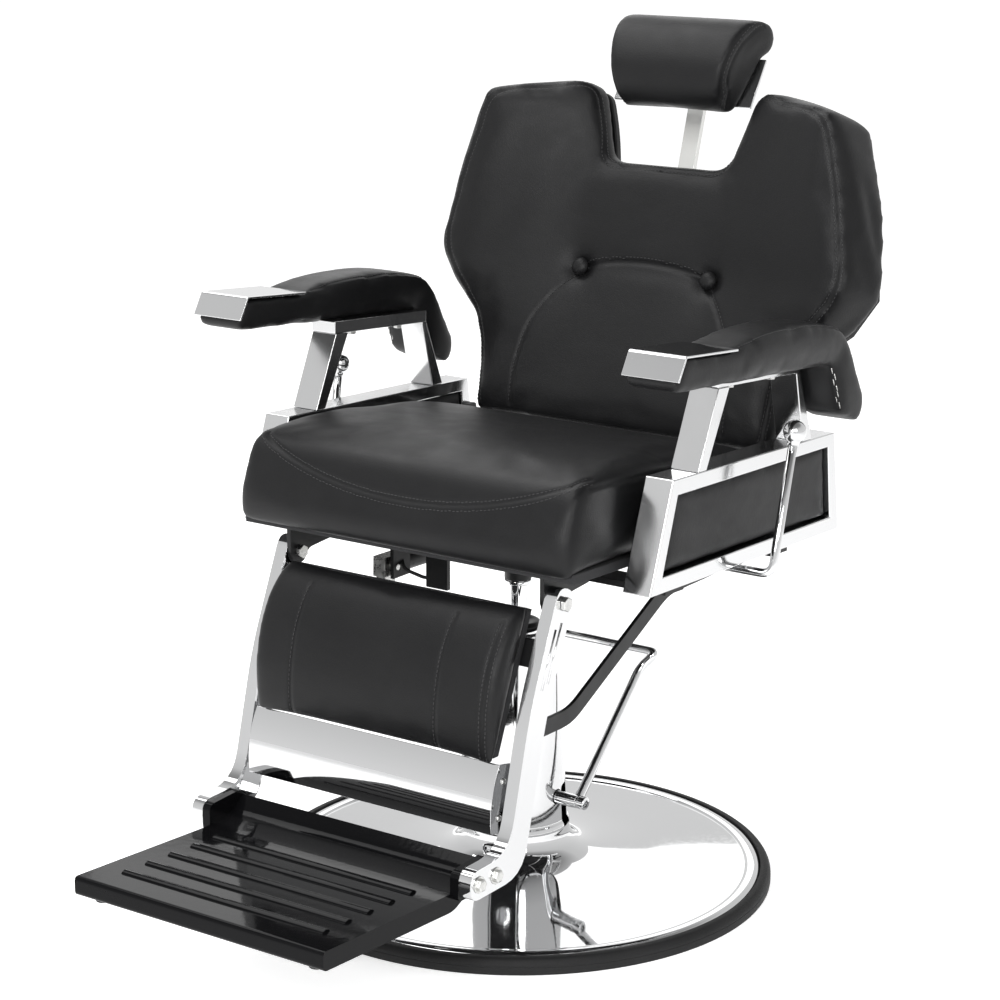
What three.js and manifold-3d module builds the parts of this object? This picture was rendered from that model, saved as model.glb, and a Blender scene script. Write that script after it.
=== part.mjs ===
// Hydraulic barber chair with a reclining back, a leg rest linked to it, and a raising headrest.
// Millimetres, +Z up. The origin is the centre of the base's underside, on the floor.
// The sitter faces -Y, so the sitter's left side is +X.

import * as THREE from "three";
import { mergeVertices } from "three/addons/utils/BufferGeometryUtils.js";
import Module from "manifold-3d";

const wasm = await Module();
wasm.setup();

// ---------------------------------------------------------------- driving dimensions

const GAP = 0.3;                      // between pieces that touch or are bolted together

// base and pump
const BASE_RADIUS = 325;
const RING_WIDTH = 13;
const RING_HEIGHT = 20;
const BASE_PLATE_THICKNESS = 6;
const DISH_THICKNESS = 2.5;
const CYLINDER_RADIUS = 36;
const CYLINDER_TOP = 320;
const PISTON_RADIUS = 13.5;
const PISTON_TOP = 448;
const COVER_FOOT_RADIUS = 64;
const COVER_TOP_RADIUS = 52;
const COVER_FOOT = 70;
const COVER_TOP = 332;
const COVER_WALL = 2;

// pump lever
const LEVER_AXLE = 114;               // height of its axis, which runs along X through the column
const LEVER_ROD = 6.3;                // radius
const LEVER_LEG_X = 92;
const LEVER_BOSS_RADIUS = 8.5;
const LEVER_BOSS_END = 105;

// seat
const SEAT_TILT = THREE.MathUtils.degToRad(2.2);   // lower at the rear
const SEAT_HALF_WIDTH = 249;
const FRAME_INNER = 262.6;            // side frames, from here outwards
const FRAME_WIDTH = 38;
const FRAME_OUTER = FRAME_INNER + FRAME_WIDTH;

// armrests
const PAD_INNER = 275;
const PAD_OUTER = 350;
const CAP_THICKNESS = 3;

// back, drawn in its own leaning frame whose origin is at the bottom of the board's rear face
const BACK_TILT = THREE.MathUtils.degToRad(17);
const BACK_ORIGIN = new THREE.Vector3(0, 284, 545);
const BOARD_THICKNESS = 12;
const BACK_BOTTOM = -24;
const NOTCH_BOTTOM = 326;
const HINGE = { y: 258, z: 515 };     // recline axis
const SHAFT_RADIUS = 8;

// leg rest
const LEG_PIVOT = { y: -205, z: 444 };
const LEG_ARM_OUTER = 206;
const LEG_ARM_INNER = 189.5;
const LEG_ARM_WIDTH = 36;
const LEG_HALF_WIDTH = 180;
const LINK_X = 183;                   // inner face of the single link bar
const LINK_THICKNESS = 5;
const LINK_WIDTH = 20;
const LINK_FRONT = { y: -262, z: 294 };
const LINK_REAR = { y: 262, z: 400 };

// gas spring that holds the back
const GAS_X = -99;
const GAS_FRONT = { y: -140, z: 425 };
const GAS_REAR = { y: 262, z: 415 };

// recline lever
const RECLINE_AXLE = { y: 44, z: 442 };
const RECLINE_BALL = { x: 343, y: 78.5, z: 611 };
const RECLINE_ROD = 5.5;

// ---------------------------------------------------------------- materials

function material(color, roughness, metalness) {
  return new THREE.MeshStandardMaterial({ color, roughness, metalness });
}
const leather = () => material(0x17171a, 0.5, 0);
const chrome = () => material(0xd9dbdd, 0.08, 1);
const blackSteel = () => material(0x1c1c1e, 0.45, 0.4);
const glossBlack = () => material(0x08080a, 0.1, 0.2);
const rubber = () => material(0x1a1a1b, 0.8, 0);
const plywood = () => material(0x3a3128, 0.85, 0);
const castZinc = () => material(0xa9abad, 0.45, 0.9);
const aluminium = () => material(0xc9cbcc, 0.3, 1);
const steel = () => material(0x8f9194, 0.35, 1);

// ---------------------------------------------------------------- shape helpers

const AXIS_X = new THREE.Vector3(1, 0, 0);
const AXIS_Y = new THREE.Vector3(0, 1, 0);
const AXIS_Z = new THREE.Vector3(0, 0, 1);

// A closed outline from corners [u, v] or [u, v, radius], with the stated corners rounded.
function outline(corners) {
  const shape = new THREE.Shape();
  const count = corners.length;
  corners.forEach(([u, v, radius = 0], i) => {
    const corner = new THREE.Vector2(u, v);
    const before = new THREE.Vector2(...corners[(i + count - 1) % count]).sub(corner);
    const after = new THREE.Vector2(...corners[(i + 1) % count]).sub(corner);
    const reach = Math.min(radius, before.length() * 0.49, after.length() * 0.49);
    const start = before.setLength(reach).add(corner);
    const end = after.setLength(reach).add(corner);
    if (i === 0) shape.moveTo(start.x, start.y);
    else shape.lineTo(start.x, start.y);
    if (reach > 0) shape.quadraticCurveTo(u, v, end.x, end.y);
  });
  shape.closePath();
  return shape;
}

// An outline that follows a path of points [u, v] at a constant width, with round ends.
function band(points, width) {
  const half = width / 2;
  const sides = [[], []];
  points.forEach(([u, v], i) => {
    const back = new THREE.Vector2(...(points[i - 1] ?? points[i]));
    const front = new THREE.Vector2(...(points[i + 1] ?? points[i]));
    const here = new THREE.Vector2(u, v);
    const incoming = here.clone().sub(back);
    const outgoing = front.clone().sub(here);
    const along = incoming.normalize().add(outgoing.normalize()).normalize();
    const straight = front.clone().sub(here).lengthSq() > 0 ? outgoing : incoming;
    const mitre = half / Math.max(0.5, along.dot(straight));
    const isEnd = i === 0 || i === points.length - 1;
    const radius = isEnd ? half : width;
    const end = along.clone().multiplyScalar(i === 0 ? -half : half);
    const centre = isEnd ? here.clone().add(end) : here;
    sides[0].push([centre.x - along.y * mitre, centre.y + along.x * mitre, radius]);
    sides[1].unshift([centre.x + along.y * mitre, centre.y - along.x * mitre, radius]);
  });
  return outline([...sides[0], ...sides[1]]);
}

function circlePoints(radius, sides) {
  return Array.from({ length: sides }, (_, i) => {
    const angle = (i * 2 * Math.PI) / sides;
    return new THREE.Vector2(radius * Math.cos(angle), radius * Math.sin(angle));
  });
}

function extrude(shape, depth, curveSegments = 5) {
  return new THREE.ExtrudeGeometry(shape, { depth, bevelEnabled: false, curveSegments });
}

// An outline in (y, z), run along X.
function alongX(shape, x0, x1, curveSegments) {
  const geometry = extrude(shape, x1 - x0, curveSegments);
  geometry.applyMatrix4(new THREE.Matrix4().makeBasis(AXIS_Y, AXIS_Z, AXIS_X));
  return geometry.translate(x0, 0, 0);
}

// An outline in (x, z), run along Y.
function alongY(shape, y0, y1, curveSegments) {
  const geometry = extrude(shape, y1 - y0, curveSegments);
  geometry.applyMatrix4(new THREE.Matrix4().makeBasis(AXIS_X, AXIS_Z, AXIS_Y.clone().negate()));
  return geometry.translate(0, y1, 0);
}

function block(x0, x1, y0, y1, z0, z1) {
  const geometry = new THREE.BoxGeometry(x1 - x0, y1 - y0, z1 - z0);
  return geometry.translate((x0 + x1) / 2, (y0 + y1) / 2, (z0 + z1) / 2);
}

// A round bar along X with its axis at (y, z).
function barX(radius, x0, x1, y, z, sides = 20) {
  const geometry = new THREE.CylinderGeometry(radius, radius, x1 - x0, sides);
  return geometry.rotateZ(Math.PI / 2).translate((x0 + x1) / 2, y, z);
}

// A turned piece about the Z axis from profile points [radius, z].
function turned(profile, sides = 40) {
  const points = profile.map(([radius, z]) => new THREE.Vector2(radius, z));
  return new THREE.LatheGeometry(points, sides).rotateX(Math.PI / 2);
}

// A ring about the Z axis from a closed profile.
function ring(profile, sides = 40) {
  return turned([...profile, profile[0]], sides);
}

// A path that steps through its key points, so that a long straight needs no extra sections.
class KeyPath extends THREE.Curve {
  constructor(keys) {
    super();
    this.keys = keys;
  }

  getPointAt(part) {
    return this.keys[Math.round(part * (this.keys.length - 1))].clone();
  }

  getTangentAt(part) {
    const last = this.keys.length - 1;
    const index = Math.round(part * last);
    const before = this.keys[Math.max(0, index - 1)];
    const after = this.keys[Math.min(last, index + 1)];
    return after.clone().sub(before).normalize();
  }
}

// A round rod through points, with its bends eased.
function rod(points, radius, bend, sides = 10) {
  const corners = points.map((point) => new THREE.Vector3(...point));
  const keys = [corners[0]];
  for (let i = 1; i < corners.length - 1; i += 1) {
    const toward = corners[i - 1].clone().sub(corners[i]).setLength(bend).add(corners[i]);
    const away = corners[i + 1].clone().sub(corners[i]).setLength(bend).add(corners[i]);
    keys.push(...new THREE.QuadraticBezierCurve3(toward, corners[i], away).getPoints(5));
  }
  keys.push(corners.at(-1));
  const section = new THREE.Shape(circlePoints(radius, sides));
  const steps = keys.length - 1;
  return new THREE.ExtrudeGeometry(section, { steps, extrudePath: new KeyPath(keys), bevelEnabled: false });
}

function solid(geometry) {
  const bare = geometry.clone();
  bare.deleteAttribute("normal");
  bare.deleteAttribute("uv");
  const merged = mergeVertices(bare, 1e-4);
  return new wasm.Manifold(new wasm.Mesh({
    numProp: 3,
    vertProperties: merged.attributes.position.array,
    triVerts: Uint32Array.from(merged.index.array),
  }));
}

function surface(body) {
  const mesh = body.getMesh();
  const geometry = new THREE.BufferGeometry();
  geometry.setAttribute("position", new THREE.BufferAttribute(mesh.vertProperties, 3));
  geometry.setIndex(new THREE.BufferAttribute(mesh.triVerts, 1));
  geometry.computeVertexNormals();
  return geometry;
}

function joined(...geometries) {
  return surface(geometries.map(solid).reduce((sum, piece) => sum.add(piece)));
}

function cut(geometry, ...tools) {
  return surface(tools.map(solid).reduce((rest, tool) => rest.subtract(tool), solid(geometry)));
}

function common(first, second) {
  return surface(solid(first).intersect(solid(second)));
}

function mirrored(geometry) {
  const body = solid(geometry).mirror([1, 0, 0]);
  return surface(body);
}

// ---------------------------------------------------------------- scene graph

const chair = new THREE.Group();
const backFrame = new THREE.Group();
backFrame.position.copy(BACK_ORIGIN);
backFrame.rotation.x = -BACK_TILT;
chair.add(backFrame);

function add(name, geometry, finish, parent = chair) {
  const mesh = new THREE.Mesh(geometry, finish);
  mesh.name = name;
  parent.add(mesh);
  return mesh;
}

// Adds the left (+X) piece and its mirror image.
function addPair(name, geometry, finish, parent = chair) {
  add(`${name}_left`, geometry, finish(), parent);
  add(`${name}_right`, mirrored(geometry), finish(), parent);
}

// ---------------------------------------------------------------- base and pump

function addBase() {
  const inner = BASE_RADIUS - RING_WIDTH;
  const ringProfile = [[inner, 0], [BASE_RADIUS, 0], [BASE_RADIUS, 11], [322, 18], [318, RING_HEIGHT],
    [inner, RING_HEIGHT]];
  add("base_ring", ring(ringProfile, 48), rubber());

  const plateRadius = inner - 8;
  add("base_plate", turned([[0, 0], [plateRadius, 0], [plateRadius, BASE_PLATE_THICKNESS],
    [0, BASE_PLATE_THICKNESS]], 48), steel());

  // The dish is flat at its rim and sweeps up like a trumpet's bell to the column.
  const sweep = [[66, 69], [69, 57], [77, 46], [93, 37], [120, 30], [170, 24], [270, 19.5],
    [inner - 1, 17]];
  const under = sweep.map(([radius, z]) => [radius, z - DISH_THICKNESS]).reverse();
  under[0] = [inner - 1, BASE_PLATE_THICKNESS + 1];
  under.splice(1, 0, [inner - 1 - DISH_THICKNESS, BASE_PLATE_THICKNESS + 1], [inner - 4, 14]);
  under[under.length - 1] = [66 - DISH_THICKNESS, 69];
  add("base_dish", ring([...under, ...sweep].reverse(), 48), chrome());

  const bore = PISTON_RADIUS + 0.5;
  add("pump_cylinder", turned([[0, BASE_PLATE_THICKNESS + GAP], [52, BASE_PLATE_THICKNESS + GAP],
    [52, 18], [CYLINDER_RADIUS, 24], [CYLINDER_RADIUS, CYLINDER_TOP], [bore, CYLINDER_TOP], [bore, 40],
    [0, 40]], 32), blackSteel());
  add("gland_nut", ring([[bore, CYLINDER_TOP + GAP], [30, CYLINDER_TOP + GAP], [30, COVER_TOP + 2],
    [26, COVER_TOP + 6], [bore, COVER_TOP + 6]], 32), steel());
}

function addColumnCover() {
  const outside = [[COVER_FOOT_RADIUS + 3, COVER_FOOT], [COVER_FOOT_RADIUS + 1.5, COVER_FOOT + 7],
    [COVER_FOOT_RADIUS - 1, COVER_FOOT + 9], [COVER_TOP_RADIUS, COVER_TOP - 6],
    [COVER_TOP_RADIUS - 3, COVER_TOP]];
  const shell = ring([[COVER_FOOT_RADIUS, COVER_FOOT], ...outside, [31, COVER_TOP],
    [31, COVER_TOP - COVER_WALL], [COVER_TOP_RADIUS - 5, COVER_TOP - COVER_WALL],
    [COVER_FOOT_RADIUS - 4, COVER_FOOT + 9]], 48);
  const axleHole = barX(LEVER_BOSS_RADIUS + 1.5, -90, 90, 0, LEVER_AXLE);
  const slotOutline = outline([[9, COVER_FOOT - 5], [30, COVER_FOOT - 5], [30, 126, 8], [9, 126, 8]]);
  const slots = [alongX(slotOutline, -90, -20), alongX(slotOutline, 20, 90)];
  add("column_cover", cut(shell, axleHole, ...slots), chrome());
}

function addPumpLever() {
  const foot = [LEVER_LEG_X, 5, LEVER_AXLE + 5];
  const knee = [94, 140, 254];
  const corner = [112, 152, 275];
  const bend = 12.5;
  const opposite = ([x, y, z]) => [-x, y, z];
  const hoop = rod([foot, knee, corner, opposite(corner), opposite(knee), opposite(foot)],
    LEVER_ROD, bend);
  const stub = (x0, x1) => barX(LEVER_BOSS_RADIUS, x0, x1, 0, LEVER_AXLE);
  const inner = CYLINDER_RADIUS + 3;
  const axles = [stub(inner, LEVER_BOSS_END), stub(-LEVER_BOSS_END, -inner)];
  const sockets = [block(inner, inner + 8, -14, 14, LEVER_AXLE - 14, LEVER_AXLE + 14),
    block(-inner - 8, -inner, -14, 14, LEVER_AXLE - 14, LEVER_AXLE + 14)];
  add("pump_lever", joined(hoop, ...axles, ...sockets), chrome());
}

function addPiston() {
  const foot = 130;
  add("piston_rod", turned([[0, foot], [PISTON_RADIUS, foot], [PISTON_RADIUS, 392], [11, 400],
    [11, PISTON_TOP], [0, PISTON_TOP]], 28), chrome());
  // The flange that the seat turns on is pinned to the rod.
  add("piston_flange", ring([[PISTON_RADIUS + GAP, 386], [30, 386], [30, 391],
    [PISTON_RADIUS + GAP, 391]], 28), steel());
}

// ---------------------------------------------------------------- seat

// Underside of the side frames, and so the top of the bars they are bolted to.
function frameBottom(y) {
  return 459 - (y + 171) * Math.tan(SEAT_TILT);
}

function tiltedBlock(x0, x1, y0, y1, above, thickness) {
  return alongX(outline([[y0, frameBottom(y0) + above], [y0, frameBottom(y0) + above - thickness],
    [y1, frameBottom(y1) + above - thickness], [y1, frameBottom(y1) + above]]), x0, x1);
}

function addUnderFrame() {
  const barThickness = 8;
  const plate = tiltedBlock(-75, 75, -125, 160, barThickness - 1, barThickness);
  const reach = FRAME_OUTER - 8;
  const frontBar = tiltedBlock(-reach, reach, -125, -85, -GAP, barThickness);
  const rearBar = tiltedBlock(-reach, reach, 120, 160, -GAP, barThickness);
  const hanger = block(-46, -14, -131, -124.5, 404, 457);
  const cheek = block(-86, -81, -150, -116, 412, 456);
  const cheekHole = barX(4.4, -90, -78, GAS_FRONT.y, GAS_FRONT.z, 16);
  add("under_frame", surface(solid(joined(plate, frontBar, rearBar, hanger, cheek))
    .subtract(solid(cheekHole))), blackSteel());

  // Housing welded to the plate: the piston's flange carries it, and it turns about the piston.
  const housingTop = frameBottom(0) - 2.2;
  const clearance = 0.5;
  add("swivel_housing", ring([[11 + clearance, 401], [PISTON_RADIUS + clearance, 391 + clearance],
    [33, 391 + clearance], [33, 400], [26, 412], [26, housingTop], [11 + clearance, housingTop]],
  28), blackSteel());
}

function addSeatCushion() {
  const boardFront = -238;
  const boardRear = 186;
  const boardBottom = (y) => 480.5 - (y + 257) * 0.041;
  const boardTop = (y) => boardBottom(y) + BOARD_THICKNESS;
  add("seat_board", alongX(outline([[boardFront, boardBottom(boardFront)],
    [boardRear, boardBottom(boardRear)], [boardRear, boardTop(boardRear)],
    [boardFront, boardTop(boardFront)]]), -SEAT_HALF_WIDTH + 8, SEAT_HALF_WIDTH - 8), plywood());
  const foot = (y) => boardTop(y) + GAP;
  const side = outline([[-250, foot(-250) - 12, 6], [-257, 520, 60], [-232, 596, 26], [-120, 601, 80],
    [60, 584, 120], [203, 547, 12], [203, 500, 10], [190, foot(190)], [-238, foot(-238)],
    [-240, foot(-240) - 12]]);
  add("seat_cushion", alongX(side, -SEAT_HALF_WIDTH, SEAT_HALF_WIDTH), leather());
}

function addSideFrames() {
  const outer = [[-171, 459], [277, 442], [258.5, 570], [-124.7, 587]];
  const inner = [[-144.5, 477], [254, 461.5], [244, 554], [-114, 567]];
  const shape = outline(outer);
  shape.holes.push(outline(inner));
  addPair("side_frame", alongX(shape, FRAME_INNER, FRAME_OUTER), chrome);
  const panel = outline([[-142.5, 478.6], [252.8, 463.2], [243, 552.6], [-113, 565.6]]);
  addPair("side_panel", alongX(panel, FRAME_INNER + 3, FRAME_OUTER - 5), leather);
}

// Underside of the arm pads.
function padBottom(y) {
  return 690.8 - y * 0.0751;
}

function addArmrests() {
  const frameTop = (y) => 587 - (y + 124.7) * 0.04436 + GAP;
  const barDepth = 16;
  const barFoot = (y) => padBottom(y) - barDepth;
  const bar = outline([[-30, barFoot(-30)], [164, barFoot(164)], [164, padBottom(164) - GAP],
    [-30, padBottom(-30) - GAP]]);
  addPair("arm_bar", alongX(bar, FRAME_INNER, FRAME_OUTER), chrome);
  const frontPost = outline([[-70, frameTop(-70)], [-52, frameTop(-52)], [-3, barFoot(-3) - GAP],
    [-28, barFoot(-28) - GAP]]);
  addPair("arm_post_front", alongX(frontPost, FRAME_INNER, FRAME_OUTER), chrome);
  const rearPost = outline([[177, frameTop(177)], [200, frameTop(200)], [164, barFoot(164) - GAP],
    [156, barFoot(156) - GAP]]);
  addPair("arm_post_rear", alongX(rearPost, FRAME_INNER, FRAME_OUTER), chrome);

  // The pad is straight along the sitter's forearm and drops behind the rear post.
  const pad = outline([[-193, padBottom(-193), 5], [-196.6, 718], [-181.7, 742.4], [-70.6, 732.4], [-60, 737, 8],
    [9, 743, 60], [110, 737, 60], [182, 721, 30], [207, 696, 20], [251, 620, 12], [237, 593, 10],
    [194, 612, 10], [171, padBottom(171), 4]]);
  addPair("arm_pad", alongX(pad, PAD_INNER, PAD_OUTER), leather);
  const cap = outline([[-200, 719], [-184, 746, 3], [-70.6, 736], [-70.6, 736 - CAP_THICKNESS],
    [-182, 746 - CAP_THICKNESS], [-197, 718]]);
  addPair("arm_cap", alongX(cap, PAD_INNER, PAD_OUTER), chrome);
}

function addHingeBlocks() {
  const shape = outline([[HINGE.y - 20, HINGE.z - 22, 6], [HINGE.y + 8, HINGE.z - 22, 6],
    [HINGE.y + 8, HINGE.z + 22, 6], [HINGE.y - 20, HINGE.z + 22, 6]]);
  const plate = alongX(shape, FRAME_INNER - 9, FRAME_INNER - GAP);
  const bore = barX(SHAFT_RADIUS + 0.5, FRAME_INNER - 20, FRAME_INNER + 5, HINGE.y, HINGE.z, 24);
  addPair("hinge_block", cut(plate, bore), blackSteel);
}

function addLegBrackets() {
  const bracket = outline([[LEG_PIVOT.y - 17, 478], [LEG_PIVOT.y - 17, LEG_PIVOT.z, 16],
    [LEG_PIVOT.y - 10, LEG_PIVOT.z - 15, 10], [LEG_PIVOT.y + 10, LEG_PIVOT.z - 15, 10],
    [LEG_PIVOT.y + 17, LEG_PIVOT.z, 12], [-126, 449, 4], [-126, 457], [-160, 466], [-168, 475.5]]);
  const x0 = LEG_ARM_INNER - 6;
  const bore = barX(5.4, x0 - 2, LEG_ARM_INNER + 2, LEG_PIVOT.y, LEG_PIVOT.z, 16);
  addPair("leg_bracket", cut(alongX(bracket, x0, LEG_ARM_INNER - GAP), bore), blackSteel);
  const shank = barX(5, x0 - 5, LEG_ARM_OUTER + 1, LEG_PIVOT.y, LEG_PIVOT.z, 16);
  const head = barX(9, LEG_ARM_OUTER + GAP, LEG_ARM_OUTER + 6, LEG_PIVOT.y, LEG_PIVOT.z, 6);
  const nut = barX(8.5, x0 - 7, x0 - GAP, LEG_PIVOT.y, LEG_PIVOT.z, 6);
  addPair("leg_pivot_bolt", joined(shank, head, nut), chrome);
}

// ---------------------------------------------------------------- recline lever

function addReclineLever() {
  const { x, y, z } = RECLINE_BALL;
  const bendX = x - 6;
  const { y: axleY, z: axleZ } = RECLINE_AXLE;
  const tip = [x, y - 1.6, z - 8];
  const left = [tip, [bendX, axleY, axleZ]];
  const right = left.map(([px, py, pz]) => [-px, py, pz]).reverse();
  const bent = rod([...left, ...right], RECLINE_ROD, 16);
  const balls = [1, -1].map((side) => new THREE.SphereGeometry(14, 14, 9).translate(side * x, y, z));
  add("recline_rod", cut(bent, ...balls), chrome());
  [["left", 1], ["right", -1]].forEach(([name, side]) => {
    const ball = new THREE.SphereGeometry(14 - GAP, 14, 9).translate(side * x, y, z);
    add(`recline_ball_${name}`, ball, chrome());
  });
}

// ---------------------------------------------------------------- back, in its leaning frame

// Half widths of the front and rear edges, and thickness at the centre and at the edge, by height.
const BACK_ROWS = [
  { h: BACK_BOTTOM, front: 222, rear: 228, centre: 75, edge: 62 },
  { h: 60, front: 228, rear: 236, centre: 66, edge: 70 },
  { h: 102, front: 238, rear: 252, centre: 61, edge: 76 },
  { h: 140, front: 276, rear: 300, centre: 57, edge: 80 },
  { h: 188, front: 307, rear: 328, centre: 52, edge: 84 },
  { h: 292, front: 287, rear: 310, centre: 51, edge: 96 },
  { h: 401, front: 256, rear: 272, centre: 52, edge: 107 },
  { h: 450, front: 242, rear: 256, centre: 52, edge: 112 },
];
const BACK_FLAT_HALF = 105;           // the centre panel, between the wings

function backLoft() {
  const rings = BACK_ROWS.map(({ h, front, rear, centre, edge }) => {
    const wing = [0, 0.35, 0.7, 1].map((part) => {
      const x = BACK_FLAT_HALF + (front - BACK_FLAT_HALF) * part;
      return [x, centre + (edge - centre) * part];
    });
    const frontRow = [...wing.map(([x, t]) => [-x, t]).reverse(), ...wing];
    return [...frontRow, [rear, 0], [-rear, 0]].map(([x, t]) => new THREE.Vector3(x, -t, h));
  });
  const positions = [];
  const push = (...points) => points.forEach((point) => positions.push(point.x, point.y, point.z));
  const count = rings[0].length;
  for (let row = 0; row + 1 < rings.length; row += 1) {
    for (let i = 0; i < count; i += 1) {
      const j = (i + 1) % count;
      push(rings[row][i], rings[row][j], rings[row + 1][j]);
      push(rings[row][i], rings[row + 1][j], rings[row + 1][i]);
    }
  }
  const cap = (loop, hub, flip) => loop.forEach((point, i) => {
    const next = loop[(i + 1) % count];
    if (flip) push(hub, next, point);
    else push(hub, point, next);
  });
  cap(rings[0], new THREE.Vector3(0, -10, rings[0][0].z), true);
  cap(rings.at(-1), new THREE.Vector3(0, -10, rings.at(-1)[0].z), false);
  const geometry = new THREE.BufferGeometry();
  geometry.setAttribute("position", new THREE.Float32BufferAttribute(positions, 3));
  return geometry;
}

// The top of the back with its two wings and the notch for the headrest bar.
function backOutline(inset) {
  const half = [[352, BACK_BOTTOM + inset], [352, 330], [268 - inset, 402 - inset, 30],
    [121 + inset, 433 - inset, 20], [100 + inset, 372, 30], [88 + inset, NOTCH_BOTTOM - inset, 14]];
  const other = half.map(([x, h, radius]) => [-x, h, radius]).reverse();
  return outline([...half, ...other]);
}

function addBack() {
  const front = alongY(backOutline(0), -130, -BOARD_THICKNESS - GAP);
  add("back_cushion", common(backLoft(), front), leather(), backFrame);
  const shrink = new THREE.Matrix4().makeScale(0.965, 1, 1);
  const boardZone = alongY(backOutline(6), -BOARD_THICKNESS, 1);
  add("back_board", common(backLoft().applyMatrix4(shrink), boardZone), leather(), backFrame);
  const button = new THREE.SphereGeometry(12, 12, 6);
  button.scale(1, 0.38, 1);
  [["left", 98], ["right", -98]].forEach(([side, x]) => {
    add(`back_button_${side}`, button.clone().translate(x, -58.8, 183.5), leather(), backFrame);
  });
}

// The recline shaft with its lugs and the two straps that carry the back, welded together.
function addHingeFrame() {
  const toBack = new THREE.Matrix4().makeRotationX(BACK_TILT)
    .multiply(new THREE.Matrix4().makeTranslation(BACK_ORIGIN.clone().negate()));
  const shaftEnd = FRAME_INNER - 1;
  const shaft = barX(SHAFT_RADIUS, -shaftEnd, shaftEnd, HINGE.y, HINGE.z, 24);
  const linkLug = alongX(band([[HINGE.y, HINGE.z], [LINK_REAR.y, LINK_REAR.z]], 20),
    LINK_X + LINK_THICKNESS + GAP, LINK_X + LINK_THICKNESS + GAP + 6);
  const gasLug = alongX(band([[HINGE.y, HINGE.z], [GAS_REAR.y, GAS_REAR.z]], 20),
    GAS_X + 6, GAS_X + 12);
  const strapOutline = outline([[-28, -28, 4], [-28, -46, 8], [-14, -56, 8], [6, -46, 10], [22, -14, 12],
    [22, 60, 20], [8, 116], [GAP, 116], [GAP, -19], [-3, -28]]);
  const straps = [208, -214].flatMap((x) => [
    alongX(strapOutline, x, x + 6),
    block(x - 16, x + 22, GAP, 6, -12, 116),
  ]);
  const welded = [shaft, linkLug, gasLug].map((piece) => piece.applyMatrix4(toBack));
  add("hinge_frame", joined(...welded, ...straps), blackSteel(), backFrame);
}

// ---------------------------------------------------------------- headrest, in the back's frame

const BAR = { half: 12, front: 4, rear: 12 };

function addHeadrest() {
  const socket = block(-21, 21, GAP, 16, 232, 312);
  const slot = block(-BAR.half - 0.5, BAR.half + 0.5, BAR.front - 0.5, BAR.rear + 0.5, 220, 330);
  add("headrest_socket", cut(socket, slot), blackSteel(), backFrame);
  const bar = block(-BAR.half, BAR.half, BAR.front, BAR.rear, 150, 470);
  const bracket = alongX(outline([[5, 438], [5, 470], [-15.5, 464], [-22.4, 440]]), -11, 11);
  add("headrest_bar", joined(bar, bracket), aluminium(), backFrame);
  // A bright plate backs the pillow over its whole width, and its ends show past the pillow.
  const plate = outline([[-15.7, 479.9], [-34.9, 412.6], [-31.1, 411.5], [-11.9, 478.8]]);
  add("pillow_plate", alongX(plate, -104, 104), chrome(), backFrame);
  const pillow = outline([[-38, 403, 6], [-52, 402, 10], [-78, 412, 30], [-95, 448, 40], [-84, 496, 40],
    [-52, 524, 40], [-10, 528, 16], [5, 512, 12], [3, 494, 12], [-16, 480]]);
  add("headrest_pillow", alongX(pillow, -106, 106), leather(), backFrame);
}

// ---------------------------------------------------------------- leg rest

const ARM_PATH = [[LEG_PIVOT.y, LEG_PIVOT.z], [-256, 325], [-300, 157], [-372, 156]];

function addLegArms() {
  const wall = 3;
  const outside = alongX(band(ARM_PATH, LEG_ARM_WIDTH), LEG_ARM_INNER, LEG_ARM_OUTER);
  const inside = alongX(band(ARM_PATH, LEG_ARM_WIDTH - 2 * wall), LEG_ARM_INNER - 5,
    LEG_ARM_OUTER - wall);
  const bore = barX(5.4, LEG_ARM_INNER - 5, LEG_ARM_OUTER + 5, LEG_PIVOT.y, LEG_PIVOT.z, 16);
  addPair("leg_arm", cut(outside, inside, bore), chrome);
}

function addLegCushion() {
  const rearLine = (z) => -213 - (452 - z) * 0.418;
  const boardThickness = 10;
  const boardFront = (z) => rearLine(z) - boardThickness;
  const board = outline([[rearLine(436), 436], [boardFront(436), 436], [boardFront(276), 276],
    [rearLine(276), 276]]);
  add("leg_board", alongX(board, -172, 172), plywood());
  const face = (z) => boardFront(z) - GAP;
  const cushion = outline([[face(441), 441, 4], [-240, 441, 10], [-266, 426, 20], [-295, 385, 40], [-309, 325, 40],
    [-306, 273, 6], [face(271), 271, 3]]);
  add("leg_cushion", alongX(cushion, -177.5, 177.5), leather());
  const strap = outline([[rearLine(404) + GAP, 404], [rearLine(404) + 4, 404], [rearLine(374) + 4, 374],
    [rearLine(374) + GAP, 374]]);
  const reach = LEG_ARM_INNER - GAP;
  add("leg_strap", alongX(strap, -reach, reach), blackSteel());
}

function addKickPlate() {
  const sheet = 2;
  const top = [-296, 270];
  const foot = [-313, 190];
  const flange = 22;
  const face = outline([top, foot, [foot[0] + sheet, foot[1]], [top[0] + sheet, top[1]]]);
  const fold = outline([top, foot, [foot[0] + flange, foot[1] - 4], [top[0] + flange, top[1] - 4]]);
  const left = alongX(fold, LEG_HALF_WIDTH - sheet, LEG_HALF_WIDTH);
  const right = alongX(fold, -LEG_HALF_WIDTH, -LEG_HALF_WIDTH + sheet);
  add("kick_plate", joined(alongX(face, -LEG_HALF_WIDTH, LEG_HALF_WIDTH), left, right), chrome());
}

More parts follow.
